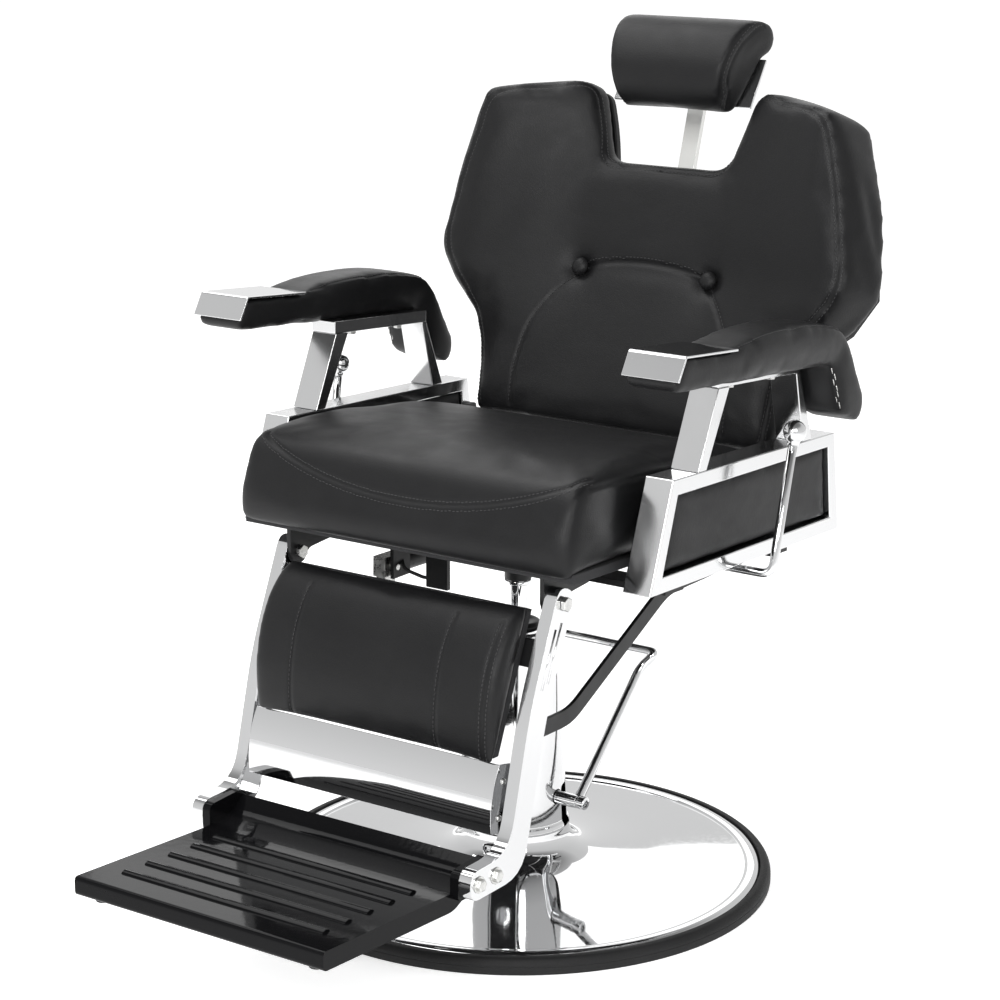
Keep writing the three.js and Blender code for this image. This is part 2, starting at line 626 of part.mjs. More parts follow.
function addFootplate() {
  const sheet = 3;
  const half = LEG_HALF_WIDTH;
  const pan = outline([[-620, 134, 6], [-620, 157, 6], [-386, 144.5, 20], [-348, 150, 14], [-329, 167],
    [-326, 165], [-345, 141, 12], [-386, 122, 10]]);
  const hollow = outline([[-617, 120], [-617, 154, 4], [-386, 141.5, 20], [-352, 146], [-347, 136],
    [-386, 100]]);
  const tray = solid(alongX(pan, -half, half))
    .subtract(solid(alongX(hollow, -half + sheet, half - sheet)));
  const ribCount = 5;
  const ribRadius = 9;
  const ribs = Array.from({ length: ribCount }, (_, i) => {
    const y = -573 + i * 39;
    const top = 157 - (y + 620) * 0.0534;
    return barX(ribRadius, -half + 34, half - 34, y, top - 5.5, 12);
  });
  // Ears at the rear corners take the two bolts on each side.
  const ear = outline([[-390, 136, 8], [-390, 171, 10], [-330, 174, 8], [-326, 150, 8], [-350, 136, 6]]);
  const ears = [alongX(ear, half - 2, LEG_ARM_INNER - GAP), alongX(ear, GAP - LEG_ARM_INNER, 2 - half)];
  const whole = [...ribs, ...ears].map(solid).reduce((sum, piece) => sum.add(piece), tray);
  add("footplate", surface(whole), glossBlack());
}

// ---------------------------------------------------------------- link and gas spring

function addLink() {
  const path = [[LINK_FRONT.y, LINK_FRONT.z], [-161, 292.6], [53, 399], [LINK_REAR.y, LINK_REAR.z]];
  const bar = alongX(band(path, LINK_WIDTH), LINK_X, LINK_X + LINK_THICKNESS);
  const holes = [[LINK_FRONT.y, LINK_FRONT.z], [LINK_REAR.y, LINK_REAR.z]]
    .map(([y, z]) => barX(4.4, LINK_X - 2, LINK_X + LINK_THICKNESS + 2, y, z, 16));
  add("link_bar", cut(bar, ...holes), blackSteel());
}

function addGasSpring() {
  const dy = GAS_REAR.y - GAS_FRONT.y;
  const dz = GAS_REAR.z - GAS_FRONT.z;
  const length = Math.hypot(dy, dz);
  const spring = new THREE.Group();
  spring.position.set(GAS_X, GAS_FRONT.y, GAS_FRONT.z);
  spring.rotation.x = Math.atan2(dz, dy);
  chair.add(spring);
  const tube = (radius, y0, y1, sides) => new THREE.CylinderGeometry(radius, radius, y1 - y0, sides)
    .translate(0, (y0 + y1) / 2, 0);
  const tubeStart = 30;
  const tubeEnd = 174;
  const boreStart = tubeStart + 4;
  const rodStart = 91;                // the rod's hidden end, clear of the bore's bottom when pushed in
  const bore = tube(5.6, boreStart, tubeEnd + 2, 16);
  add("gas_cylinder", cut(tube(13.5, tubeStart, tubeEnd, 24), bore), blackSteel(), spring);
  add("release_head", joined(block(-9, 9, -16, 29.5, -12, 13), block(-7, 7, -12, 8, -28, -11),
    barX(4, -14, 17.5, 0, 0, 16)), castZinc(), spring);
  const eye = barX(10, -5, 5, length, 0, 20);
  add("gas_rod", joined(tube(5, rodStart, length - 8, 16), eye), chrome(), spring);
}

addBase();
addColumnCover();
addPumpLever();
addPiston();
addUnderFrame();
addSeatCushion();
addSideFrames();
addArmrests();
addHingeBlocks();
addLegBrackets();
addReclineLever();
addBack();
addHingeFrame();
addHeadrest();
addLegArms();
addLegCushion();
addKickPlate();
addFootplate();
addLink();
addGasSpring();

export default chair;
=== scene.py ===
import math

import bmesh
import bpy
import numpy as np
from mathutils import Matrix, Vector
from mathutils.bvhtree import BVHTree
from mathutils.kdtree import KDTree


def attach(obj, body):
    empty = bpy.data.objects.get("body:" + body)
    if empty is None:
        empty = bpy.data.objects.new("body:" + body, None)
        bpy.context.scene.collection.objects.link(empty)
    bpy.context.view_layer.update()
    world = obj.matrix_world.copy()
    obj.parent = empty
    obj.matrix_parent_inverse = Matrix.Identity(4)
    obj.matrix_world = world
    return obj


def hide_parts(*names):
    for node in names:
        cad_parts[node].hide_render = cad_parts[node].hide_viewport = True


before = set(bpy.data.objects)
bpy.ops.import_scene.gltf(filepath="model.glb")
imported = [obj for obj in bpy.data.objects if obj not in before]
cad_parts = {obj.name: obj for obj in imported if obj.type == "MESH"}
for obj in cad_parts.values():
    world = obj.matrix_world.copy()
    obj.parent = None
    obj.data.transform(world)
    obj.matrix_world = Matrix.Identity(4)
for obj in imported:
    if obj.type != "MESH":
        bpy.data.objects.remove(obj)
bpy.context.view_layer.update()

MM = 0.001
X, Y, Z = Vector((1, 0, 0)), Vector((0, 1, 0)), Vector((0, 0, 1))

# ------------------------------------------------------------------ shared places, in millimetres

BACK_TILT = math.radians(17)
BACK_FRAME = Matrix.Translation(Vector((0, 284, 545))) @ Matrix.Rotation(-BACK_TILT, 4, "X")
PAD_INNER, PAD_OUTER = 275, 350      # the armrest pads' two sides
LEG_HALF = 180
ARM_OUTER = 206                      # the leg arms' outer face


# ------------------------------------------------------------------ materials

def principled(name, color, metallic=0.0, roughness=0.5, **sockets):
    """A new node material. Returns it with its node tree and its Principled shader."""
    material = bpy.data.materials.new(name)
    material.use_nodes = True
    tree = material.node_tree
    shader = tree.nodes["Principled BSDF"]
    shader.inputs["Base Color"].default_value = (*color, 1)
    shader.inputs["Metallic"].default_value = metallic
    shader.inputs["Roughness"].default_value = roughness
    for key, value in sockets.items():
        shader.inputs[key.replace("_", " ")].default_value = value
    return material, tree, shader


def texture(tree, kind, scale, stretch=(1, 1, 1), **settings):
    """A procedural texture in the object's own metres."""
    coordinates = tree.nodes.new("ShaderNodeTexCoord")
    mapping = tree.nodes.new("ShaderNodeMapping")
    mapping.inputs["Scale"].default_value = stretch
    node = tree.nodes.new(kind)
    node.inputs["Scale"].default_value = scale
    for key, value in settings.items():
        if key in node.inputs:
            node.inputs[key].default_value = value
        else:
            setattr(node, key, value)
    tree.links.new(coordinates.outputs["Object"], mapping.inputs["Vector"])
    tree.links.new(mapping.outputs["Vector"], node.inputs["Vector"])
    return node


def remap(tree, socket, low, high, start=0.3, end=0.7):
    """A value that runs from low to high as the socket runs from start to end."""
    node = tree.nodes.new("ShaderNodeMapRange")
    node.inputs["From Min"].default_value = start
    node.inputs["From Max"].default_value = end
    node.inputs["To Min"].default_value = low
    node.inputs["To Max"].default_value = high
    tree.links.new(socket, node.inputs["Value"])
    return node.outputs["Result"]


def tint(tree, shader, socket, dark, light, start=0.3, end=0.7):
    ramp = tree.nodes.new("ShaderNodeValToRGB")
    ramp.color_ramp.elements[0].position = start
    ramp.color_ramp.elements[0].color = (*dark, 1)
    ramp.color_ramp.elements[1].position = end
    ramp.color_ramp.elements[1].color = (*light, 1)
    tree.links.new(socket, ramp.inputs["Fac"])
    tree.links.new(ramp.outputs["Color"], shader.inputs["Base Color"])


def bump(tree, shader, layers):
    """Bump from (height socket, distance in metres, strength) layers, coarse ones first."""
    normal = None
    for height, distance, strength in layers:
        node = tree.nodes.new("ShaderNodeBump")
        node.inputs["Strength"].default_value = strength
        node.inputs["Distance"].default_value = distance
        tree.links.new(height, node.inputs["Height"])
        if normal:
            tree.links.new(normal, node.inputs["Normal"])
        normal = node.outputs["Normal"]
    tree.links.new(normal, shader.inputs["Normal"])


def faux_leather():
    """Black satin vinyl: fine pebbled grain, faint creases, and a sheen that varies a little."""
    material, tree, shader = principled("faux_leather", (0.007, 0.007, 0.0075), 0, 0.42)
    shader.inputs["Specular IOR Level"].default_value = 0.22
    grain = texture(tree, "ShaderNodeTexVoronoi", 620, Randomness=1.0, feature="F1")
    pores = texture(tree, "ShaderNodeTexNoise", 900, Detail=3.0)
    creases = texture(tree, "ShaderNodeTexNoise", 26, stretch=(1, 1, 1.6), Detail=5.0, Roughness=0.6)
    clouds = texture(tree, "ShaderNodeTexNoise", 7, Detail=3.0)
    tint(tree, shader, clouds.outputs["Fac"], (0.0055, 0.0055, 0.006), (0.0085, 0.0085, 0.009))
    tree.links.new(remap(tree, creases.outputs["Fac"], 0.38, 0.48), shader.inputs["Roughness"])
    bump(tree, shader, [
        (creases.outputs["Fac"], 0.0016, 0.22),
        (grain.outputs["Distance"], 0.00035, 0.32),
        (pores.outputs["Fac"], 0.0002, 0.25),
    ])
    return material


def sewing_thread():
    material, tree, shader = principled("sewing_thread", (0.032, 0.032, 0.033), 0, 0.5)
    twist = texture(tree, "ShaderNodeTexWave", 900, Distortion=1.0)
    bump(tree, shader, [(twist.outputs["Fac"], 0.0003, 0.5)])
    return material


def mirror_chrome(name="mirror_chrome", roughness=0.045, waviness=0.05):
    """Bright chrome plate over sheet: a clean mirror with a faint ripple and tiny scuffs."""
    material, tree, shader = principled(name, (0.67, 0.673, 0.678), 1, roughness)
    ripple = texture(tree, "ShaderNodeTexNoise", 9, Detail=2.0)
    scuffs = texture(tree, "ShaderNodeTexNoise", 160, stretch=(1, 1, 6), Detail=6.0)
    tree.links.new(remap(tree, scuffs.outputs["Fac"], roughness * 0.7, roughness * 1.8, 0.4, 0.75),
                   shader.inputs["Roughness"])
    bump(tree, shader, [(ripple.outputs["Fac"], 0.004, waviness)])
    return material


def polished_frame():
    """Polished tube of the side frames: bright, with fine brushing that blurs the reflections."""
    material, tree, shader = principled("polished_frame", (0.67, 0.672, 0.676), 1, 0.12)
    brushed = texture(tree, "ShaderNodeTexNoise", 240, stretch=(0.15, 0.15, 3), Detail=4.0)
    clouds = texture(tree, "ShaderNodeTexNoise", 14, Detail=3.0)
    tree.links.new(remap(tree, clouds.outputs["Fac"], 0.07, 0.2), shader.inputs["Roughness"])
    bump(tree, shader, [
        (clouds.outputs["Fac"], 0.002, 0.05),
        (brushed.outputs["Fac"], 0.0001, 0.18),
    ])
    return material


def satin_black():
    """Black powder coat over steel."""
    material, tree, shader = principled("satin_black", (0.007, 0.007, 0.0075), 0, 0.4)
    shader.inputs["Specular IOR Level"].default_value = 0.3
    peel = texture(tree, "ShaderNodeTexNoise", 420, Detail=3.0)
    clouds = texture(tree, "ShaderNodeTexNoise", 22, Detail=3.0)
    tree.links.new(remap(tree, clouds.outputs["Fac"], 0.33, 0.48), shader.inputs["Roughness"])
    bump(tree, shader, [(peel.outputs["Fac"], 0.0003, 0.2)])
    return material


def gloss_enamel():
    """Thick gloss black enamel with a slight orange peel."""
    material, tree, shader = principled("gloss_enamel", (0.004, 0.004, 0.0045), 0, 0.1, IOR=1.3)
    shader.inputs["Specular IOR Level"].default_value = 0.2
    peel = texture(tree, "ShaderNodeTexNoise", 130, Detail=2.0)
    dust = texture(tree, "ShaderNodeTexNoise", 700, Detail=4.0)
    tree.links.new(remap(tree, dust.outputs["Fac"], 0.07, 0.16, 0.5, 0.8), shader.inputs["Roughness"])
    bump(tree, shader, [(peel.outputs["Fac"], 0.0006, 0.1)])
    return material


def black_rubber():
    material, tree, shader = principled("black_rubber", (0.012, 0.012, 0.012), 0, 0.6)
    shader.inputs["Specular IOR Level"].default_value = 0.25
    speckle = texture(tree, "ShaderNodeTexNoise", 500, Detail=4.0)
    clouds = texture(tree, "ShaderNodeTexNoise", 12, Detail=3.0)
    tint(tree, shader, clouds.outputs["Fac"], (0.01, 0.01, 0.0103), (0.015, 0.015, 0.0155))
    tree.links.new(remap(tree, speckle.outputs["Fac"], 0.52, 0.7), shader.inputs["Roughness"])
    bump(tree, shader, [(speckle.outputs["Fac"], 0.0003, 0.25)])
    return material


def zinc_plate():
    material, tree, shader = principled("zinc_plate", (0.62, 0.62, 0.6), 1, 0.28)
    clouds = texture(tree, "ShaderNodeTexNoise", 90, Detail=5.0)
    tint(tree, shader, clouds.outputs["Fac"], (0.5, 0.5, 0.49), (0.7, 0.7, 0.68))
    tree.links.new(remap(tree, clouds.outputs["Fac"], 0.2, 0.38), shader.inputs["Roughness"])
    bump(tree, shader, [(clouds.outputs["Fac"], 0.0004, 0.15)])
    return material


def brushed_aluminium():
    material, tree, shader = principled("brushed_aluminium", (0.7, 0.7, 0.68), 1, 0.34)
    brushed = texture(tree, "ShaderNodeTexNoise", 500, stretch=(1, 1, 0.03), Detail=4.0)
    tree.links.new(remap(tree, brushed.outputs["Fac"], 0.28, 0.42), shader.inputs["Roughness"])
    bump(tree, shader, [(brushed.outputs["Fac"], 0.0002, 0.15)])
    return material


def bare_steel():
    material, tree, shader = principled("bare_steel", (0.42, 0.42, 0.42), 1, 0.32)
    clouds = texture(tree, "ShaderNodeTexNoise", 60, Detail=5.0)
    tint(tree, shader, clouds.outputs["Fac"], (0.34, 0.34, 0.335), (0.5, 0.5, 0.495))
    tree.links.new(remap(tree, clouds.outputs["Fac"], 0.26, 0.42), shader.inputs["Roughness"])
    bump(tree, shader, [(clouds.outputs["Fac"], 0.0003, 0.12)])
    return material


def lining_cloth():
    """Black non-woven cloth stapled over the boards' hidden faces."""
    material, tree, shader = principled("lining_cloth", (0.016, 0.016, 0.017), 0, 0.9)
    fibres = texture(tree, "ShaderNodeTexNoise", 800, stretch=(1, 3, 1), Detail=6.0)
    tint(tree, shader, fibres.outputs["Fac"], (0.012, 0.012, 0.013), (0.026, 0.026, 0.028))
    bump(tree, shader, [(fibres.outputs["Fac"], 0.0006, 0.5)])
    return material


LEATHER = faux_leather()
THREAD = sewing_thread()
CHROME = mirror_chrome()
POLISHED = polished_frame()
BLACK = satin_black()
ENAMEL = gloss_enamel()
RUBBER = black_rubber()
ZINC = zinc_plate()
ALUMINIUM = brushed_aluminium()
STEEL = bare_steel()
LINING = lining_cloth()


# ------------------------------------------------------------------ mesh helpers

def mm(x, y, z):
    """A place given in millimetres, in metres."""
    return Vector((x, y, z)) * MM


def back_point(x, y, h):
    """A point in the leaning frame of the back, in millimetres, as a place in the row frame."""
    return (BACK_FRAME @ Vector((x, y, h))) * MM


def new_piece(name, mesh, body, material, replaces=(), smooth=True):
    """A piece made from a mesh in row metres, riding on its body."""
    piece = bpy.data.objects.new(name, mesh)
    bpy.context.scene.collection.objects.link(piece)
    if smooth:
        mesh.polygons.foreach_set("use_smooth", [True] * len(mesh.polygons))
    mesh.materials.clear()
    mesh.materials.append(material)
    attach(piece, body)
    if replaces:
        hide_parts(*replaces)
    return piece


def mesh_of(name, vertices, faces):
    """A mesh from lists of places in metres and of faces."""
    mesh = bpy.data.meshes.new(name)
    mesh.from_pydata([tuple(v) for v in vertices], [], faces)
    return mesh


def joined_mesh(name, parts):
    """One mesh from several (vertices, faces) lists."""
    vertices, faces = [], []
    for part_vertices, part_faces in parts:
        start = len(vertices)
        vertices += part_vertices
        faces += [[start + i for i in face] for face in part_faces]
    return mesh_of(name, vertices, faces)


def turned(profile, sides=96, closed=False, place=None):
    """Vertices and faces of a profile of (radius, height) in mm, turned about Z."""
    place = place or (lambda v: v * MM)
    vertices, faces, rings = [], [], []
    for radius, height in profile:
        if radius < 1e-6:
            rings.append([len(vertices)])
            vertices.append(place(Vector((0, 0, height))))
            continue
        rings.append(list(range(len(vertices), len(vertices) + sides)))
        for i in range(sides):
            angle = i * 2 * math.pi / sides
            spot = Vector((radius * math.cos(angle), radius * math.sin(angle), height))
            vertices.append(place(spot))
    pairs = list(zip(rings, rings[1:])) + ([(rings[-1], rings[0])] if closed else [])
    for low, high in pairs:
        for i in range(sides):
            j = (i + 1) % sides
            face = [low[i % len(low)], low[j % len(low)], high[j % len(high)], high[i % len(high)]]
            faces.append(list(dict.fromkeys(face)))
    return vertices, faces


def rounded_profile(corners, steps=4, closed=False):
    """A profile of (u, v, radius) corners with each corner rounded into a few points."""
    points = []
    count = len(corners)
    for i, corner in enumerate(corners):
        here = Vector(corner[:2])
        radius = corner[2] if len(corner) > 2 else 0
        is_end = not closed and i in (0, count - 1)
        if radius == 0 or is_end:
            points.append(tuple(here))
            continue
        before = Vector(corners[i - 1][:2]) - here
        after = Vector(corners[(i + 1) % count][:2]) - here
        reach = min(radius, before.length * 0.49, after.length * 0.49)
        start, end = here + before.normalized() * reach, here + after.normalized() * reach
        for step in range(steps + 1):
            t = step / steps
            points.append(tuple(start * (1 - t) ** 2 + here * 2 * t * (1 - t) + end * t * t))
    return points


def eased_path(points, bend, steps=8):
    """A path through points in mm, with its bends eased over a distance."""
    corners = [Vector(p) for p in points]
    path = [corners[0]]
    for before, here, after in zip(corners, corners[1:], corners[2:]):
        start = here + (before - here).normalized() * bend
        end = here + (after - here).normalized() * bend
        path += [start * (1 - t) ** 2 + here * 2 * t * (1 - t) + end * t * t
                 for t in [i / steps for i in range(steps + 1)]]
    return path + [corners[-1]]


def swept(path, section, closed_ends=True):
    """Vertices and faces of a section of (u, v) offsets in mm swept along a path in mm."""
    vertices, faces = [], []
    side = None
    count = len(section)
    for i, point in enumerate(path):
        ahead = path[min(i + 1, len(path) - 1)] - path[max(i - 1, 0)]
        ahead.normalize()
        if side is None:
            side = ahead.orthogonal().normalized()
        side = (side - ahead * side.dot(ahead)).normalized()
        up = ahead.cross(side)
        vertices += [(point + side * u + up * v) * MM for u, v in section]
    for i in range(len(path) - 1):
        for j in range(count):
            k = (j + 1) % count
            faces.append([i * count + j, i * count + k, (i + 1) * count + k, (i + 1) * count + j])
    if closed_ends:
        faces.append(list(range(count))[::-1])
        faces.append(list(range((len(path) - 1) * count, len(path) * count)))
    return vertices, faces


def circle(radius, sides):
    """A round section for swept()."""
    return [(radius * math.cos(i * 2 * math.pi / sides), radius * math.sin(i * 2 * math.pi / sides))
            for i in range(sides)]


def axis_place(at, axis):
    """Turns a Z-up piece in mm so that its Z runs along axis, and puts it at a place."""
    turn = Vector(axis).to_track_quat("Z", "Y").to_matrix()
    return lambda v: (turn @ v + Vector(at)) * MM


def hex_head(at, axis, across, height, washer=0.0):
    """A chamfered hexagon head on a washer, in mm. Its base is at the place, facing along axis."""
    place = axis_place(at, axis)
    radius = across / math.sqrt(3)
    chamfer = 0.12 * across
    foot = 1.4 if washer else 0
    profile = [(0, foot), (radius, foot), (radius, foot + height - chamfer * 0.5),
               (radius - chamfer, foot + height), (0, foot + height)]
    parts = [turned(profile, 6, place=place)]
    if washer:
        ring = [(0, 0), (washer - 0.3, 0), (washer, 0.3), (washer, foot - 0.3), (washer - 0.3, foot),
                (0, foot)]
        parts.append(turned(ring, 32, place=place))
    return parts


def screw_head(at, axis, radius, height):
    """A domed screw head with a round recess."""
    place = axis_place(at, axis)
    profile = [(0, 0), (radius, 0), (radius, height * 0.35), (radius * 0.8, height * 0.8),
               (radius * 0.45, height), (radius * 0.3, height * 0.55), (0, height * 0.45)]
    return [turned(profile, 24, place=place)]


def bevelled(piece, width, segments=2, angle=30):
    """Rounds a piece's sharp edges and shades it cleanly."""
    modifier = piece.modifiers.new("edges", "BEVEL")
    modifier.width = width * MM
    modifier.segments = segments
    modifier.limit_method = "ANGLE"
    modifier.angle_limit = math.radians(angle)
    modifier.harden_normals = True
    piece.modifiers.new("shading", "WEIGHTED_NORMAL").keep_sharp = True


def finish_node(node, material, bevel=0.8, segments=2, angle=30):
    """A shown CAD node's material, with softened edges and clean shading from modifiers."""
    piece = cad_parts[node]
    piece.data.materials.clear()
    piece.data.materials.append(material)
    if piece.data.has_custom_normals:
        bpy.context.view_layer.objects.active = piece
        bpy.ops.mesh.customdata_custom_splitnormals_clear()
    piece.data.polygons.foreach_set("use_smooth", [True] * len(piece.data.polygons))
    sharp = piece.data.attributes.get("sharp_face")
    if sharp:
        piece.data.attributes.remove(sharp)
    piece.modifiers.new("weld", "WELD").merge_threshold = 1e-5
    flat = piece.modifiers.new("flats", "DECIMATE")
    flat.decimate_type = "DISSOLVE"
    flat.angle_limit = math.radians(0.6)
    bevelled(piece, bevel, segments, angle)


# ------------------------------------------------------------------ padded pieces

def baked(piece):
    """Replaces a piece's mesh by what its modifiers make of it, and drops them."""
    evaluated = piece.evaluated_get(bpy.context.evaluated_depsgraph_get())
    mesh = bpy.data.meshes.new_from_object(evaluated)
    piece.modifiers.clear()
    piece.data = mesh
    mesh.polygons.foreach_set("use_smooth", [True] * len(mesh.polygons))


def places(piece):
    """A piece's vertices as an array of places in metres."""
    flat = np.empty(len(piece.data.vertices) * 3)
    piece.data.vertices.foreach_get("co", flat)
    return flat.reshape(-1, 3)


def move_to(piece, points):
    piece.data.vertices.foreach_set("co", np.asarray(points).ravel())
    piece.data.update()


def relax(piece, rounds):
    """Rounds a mesh's edges by moving each point towards the middle of its neighbours."""
    points = places(piece)
    edges = np.empty(len(piece.data.edges) * 2, int)
    piece.data.edges.foreach_get("vertices", edges)
    a, b = edges.reshape(-1, 2).T
    degree = np.bincount(np.concatenate([a, b]), minlength=len(points))[:, None]
    for _ in range(rounds):
        total = np.zeros_like(points)
        for axis in range(3):
            total[:, axis] = np.bincount(a, points[b, axis], len(points))
            total[:, axis] += np.bincount(b, points[a, axis], len(points))
        points = points * 0.5 + total / degree * 0.5
    move_to(piece, points)


def inflate(piece, cap, pressure, held):
    """Swells a cover with a cloth simulation. Points where held(x, y, z) is true are pinned."""
    before = places(piece)
    stay = np.array([bool(held(*point)) for point in before / MM])
    group = piece.vertex_groups.new(name="held")
    group.add([int(i) for i in np.flatnonzero(stay)], 1.0, "REPLACE")
    cloth = piece.modifiers.new("swell", "CLOTH")
    settings = cloth.settings
    settings.quality = 5
    settings.mass = 0.3
    settings.tension_stiffness = 20
    settings.compression_stiffness = 20
    settings.shear_stiffness = 8
    settings.bending_stiffness = 1.5
    settings.use_pressure = True
    settings.uniform_pressure_force = pressure
    settings.effector_weights.gravity = 0
    settings.vertex_group_mass = "held"
    cloth.point_cache.frame_start = 1
    cloth.point_cache.frame_end = 20
    for step in range(1, 21):
        bpy.context.scene.frame_set(step)
    baked(piece)
    bpy.context.scene.frame_set(1)
    piece.vertex_groups.clear()
    shift = places(piece) - before
    length = np.linalg.norm(shift, axis=1, keepdims=True)
    limit = cap * MM * np.tanh(length / (cap * MM)) / np.maximum(length, 1e-9)
    move_to(piece, before + shift * limit)
    relax(piece, 4)


def fit_to(piece, target, frame_matrix=Matrix.Identity(4)):
    """Stretches a piece so that its box, seen in a frame, is the CAD solid's box."""
    to_frame = np.array(frame_matrix.inverted())
    back = np.array(frame_matrix)

    def seen(points):
        return points / MM @ to_frame[:3, :3].T + to_frame[:3, 3]

    solid = seen(places(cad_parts[target]))
    points = seen(places(piece))
    low, high = points.min(0), points.max(0)
    points = (points - low) / (high - low) * np.ptp(solid, axis=0) + solid.min(0)
    move_to(piece, (points @ back[:3, :3].T + back[:3, 3]) * MM)


def cushion(name, node, body, voxel, rounding, cap=8, pressure=4.0, held=None,
            frame_matrix=Matrix.Identity(4), finer=1):
    """A padded piece from its CAD solid: remeshed, rounded, swollen by cloth, and fitted back."""
    piece = new_piece(name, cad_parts[node].data.copy(), body, LEATHER, [node])
    piece.modifiers.new("weld", "WELD").merge_threshold = 1e-5
    remesh = piece.modifiers.new("remesh", "REMESH")
    remesh.mode = "VOXEL"
    remesh.voxel_size = voxel * MM
    baked(piece)
    relax(piece, rounding)
    inflate(piece, cap, pressure, held or (lambda x, y, z: False))
    fit_to(piece, node, frame_matrix)
    if finer:
        piece.modifiers.new("finer", "SUBSURF").levels = finer
        baked(piece)
    piece.data.materials.clear()
    piece.data.materials.append(LEATHER)
    return piece


def covered_board(name, node, body, edge):
    """A board pulled tight with leather: the CAD solid's shape with rounded edges."""
    piece = new_piece(name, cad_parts[node].data.copy(), body, LEATHER, [node])
    if piece.data.has_custom_normals:
        bpy.context.view_layer.objects.active = piece
        bpy.ops.mesh.customdata_custom_splitnormals_clear()
    piece.modifiers.new("weld", "WELD").merge_threshold = 1e-5
    flat = piece.modifiers.new("flats", "DECIMATE")
    flat.decimate_type = "DISSOLVE"
    flat.angle_limit = math.radians(0.6)
    bevelled(piece, edge, 4)
    return piece


def surface_tree(piece):
    """A piece's surface, ready for cast() and nearest()."""
    return BVHTree.FromPolygons([v.co for v in piece.data.vertices],
                                [p.vertices for p in piece.data.polygons])


def cast(tree, points, direction):
    """Where lines through the points, along a direction, first meet a surface: places and normals."""
    hits = []
    for point in points:
        place, normal, _, _ = tree.ray_cast(point - direction * 0.4, direction)
        if place is None:
            place, normal, _, _ = tree.find_nearest(point)
        hits.append((place, normal))
    return hits


def nearest(tree, points):
    """The nearest place on a surface to each point, with its normal."""
    return [tree.find_nearest(point)[:2] for point in points]


def even(points, pitch):
    """Points along a line in metres, an even pitch in mm apart."""
    steps = [0.0]
    for a, b in zip(points, points[1:]):
        steps.append(steps[-1] + (b - a).length)
    count = max(2, int(steps[-1] / (pitch * MM)))
    wanted = np.linspace(0, steps[-1], count)
    columns = [np.interp(wanted, steps, [p[axis] for p in points]) for axis in range(3)]
    return [Vector(p) for p in zip(*columns)]


def crease(piece, path, depth, width):
    """Presses a narrow valley into a piece along a path in metres."""
    tree = KDTree(len(path))
    for i, point in enumerate(path):
        tree.insert(point, i)
    tree.balance()
    points = places(piece)
    normals = np.empty(points.size)
    piece.data.vertices.foreach_get("normal", normals)
    normals = normals.reshape(-1, 3)
    reach = 3 * width * MM
    low = np.min([tuple(p) for p in path], axis=0) - reach
    high = np.max([tuple(p) for p in path], axis=0) + reach
    near = np.flatnonzero(np.all((points > low) & (points < high), axis=1))
    for i in near:
        distance = tree.find(Vector(points[i]))[2]
        if distance < reach:
            points[i] -= normals[i] * depth * MM * math.exp(-((distance / (width * MM)) ** 2))
    move_to(piece, points)


STITCH_PITCH = 5.2
STITCH_LENGTH = 3.7
STITCH_RADIUS = 0.5


def stitch_run(tree, path, offset=0.0):
    """Vertices and faces of a row of stitches beside a path on a surface."""
    parts = []
    line = even(path, STITCH_PITCH)
    for i, point in enumerate(line[:-1]):
        along = (line[i + 1] - point).normalized()
        place, normal = tree.find_nearest(point)[:2]
        side = normal.cross(along).normalized()
        place, normal = tree.find_nearest(point + side * offset * MM)[:2]
        along = (along - normal * along.dot(normal)).normalized()
        side = normal.cross(along)
        vertices, faces = [], []
        rings = [(-0.5, 0.25, -0.25), (-0.36, 0.9, 0.1), (0.0, 1.0, 0.3), (0.36, 0.9, 0.1),
                 (0.5, 0.25, -0.25)]
        for shift, size, lift in rings:
            centre = place + along * shift * STITCH_LENGTH * MM + normal * lift * STITCH_RADIUS * MM
            for u, v in circle(STITCH_RADIUS * size * MM, 6):
                vertices.append(centre + side * u + normal * v)
        for r in range(len(rings) - 1):
            for j in range(6):
                k = (j + 1) % 6
                faces.append([r * 6 + j, r * 6 + k, (r + 1) * 6 + k, (r + 1) * 6 + j])
        parts.append((vertices, faces))
    return parts


def seam(piece, path, rows, depth=1.8, width=2.4):
    """Creases a piece along a path and returns the stitches at each row's distance from it."""
    fine = even(path, 2.0)
    crease(piece, fine, depth, width)
    tree = surface_tree(piece)
    stitches = []
    for offset in rows:
        stitches += stitch_run(tree, path, offset)
    return stitches


def add_stitches(name, body, parts):
    if parts:
        new_piece(name, joined_mesh(name, parts), body, THREAD)


# ------------------------------------------------------------------ base and pump

def smooth_curve(points, steps=6):
    """A Catmull-Rom curve through (u, v) points."""
    points = [Vector(p) for p in points]
    padded = [points[0] * 2 - points[1], *points, points[-1] * 2 - points[-2]]
    curve = []
    for a, b, c, d in zip(padded, padded[1:], padded[2:], padded[3:]):
        for i in range(steps):
            t = i / steps
            curve.append(tuple(0.5 * (b * 2 + (c - a) * t + (a * 2 - b * 5 + c * 4 - d) * t * t
                                      + (b * 3 - a - c * 3 + d) * t ** 3)))
    return curve + [tuple(points[-1])]


def add_turned(name, profile, body, material, replaces=(), sides=96, closed=False, place=None,
               edge=0.0):
    mesh = joined_mesh(name, [turned(profile, sides, closed, place)])
    piece = new_piece(name, mesh, body, material, replaces)
    tidy_normals(piece)
    if edge:
        bevelled(piece, edge)
    return piece


def tidy_normals(piece):
    """Turns every face of a closed piece outward."""
    shape = bmesh.new()
    shape.from_mesh(piece.data)
    bmesh.ops.recalc_face_normals(shape, faces=shape.faces)
    shape.to_mesh(piece.data)
    shape.free()


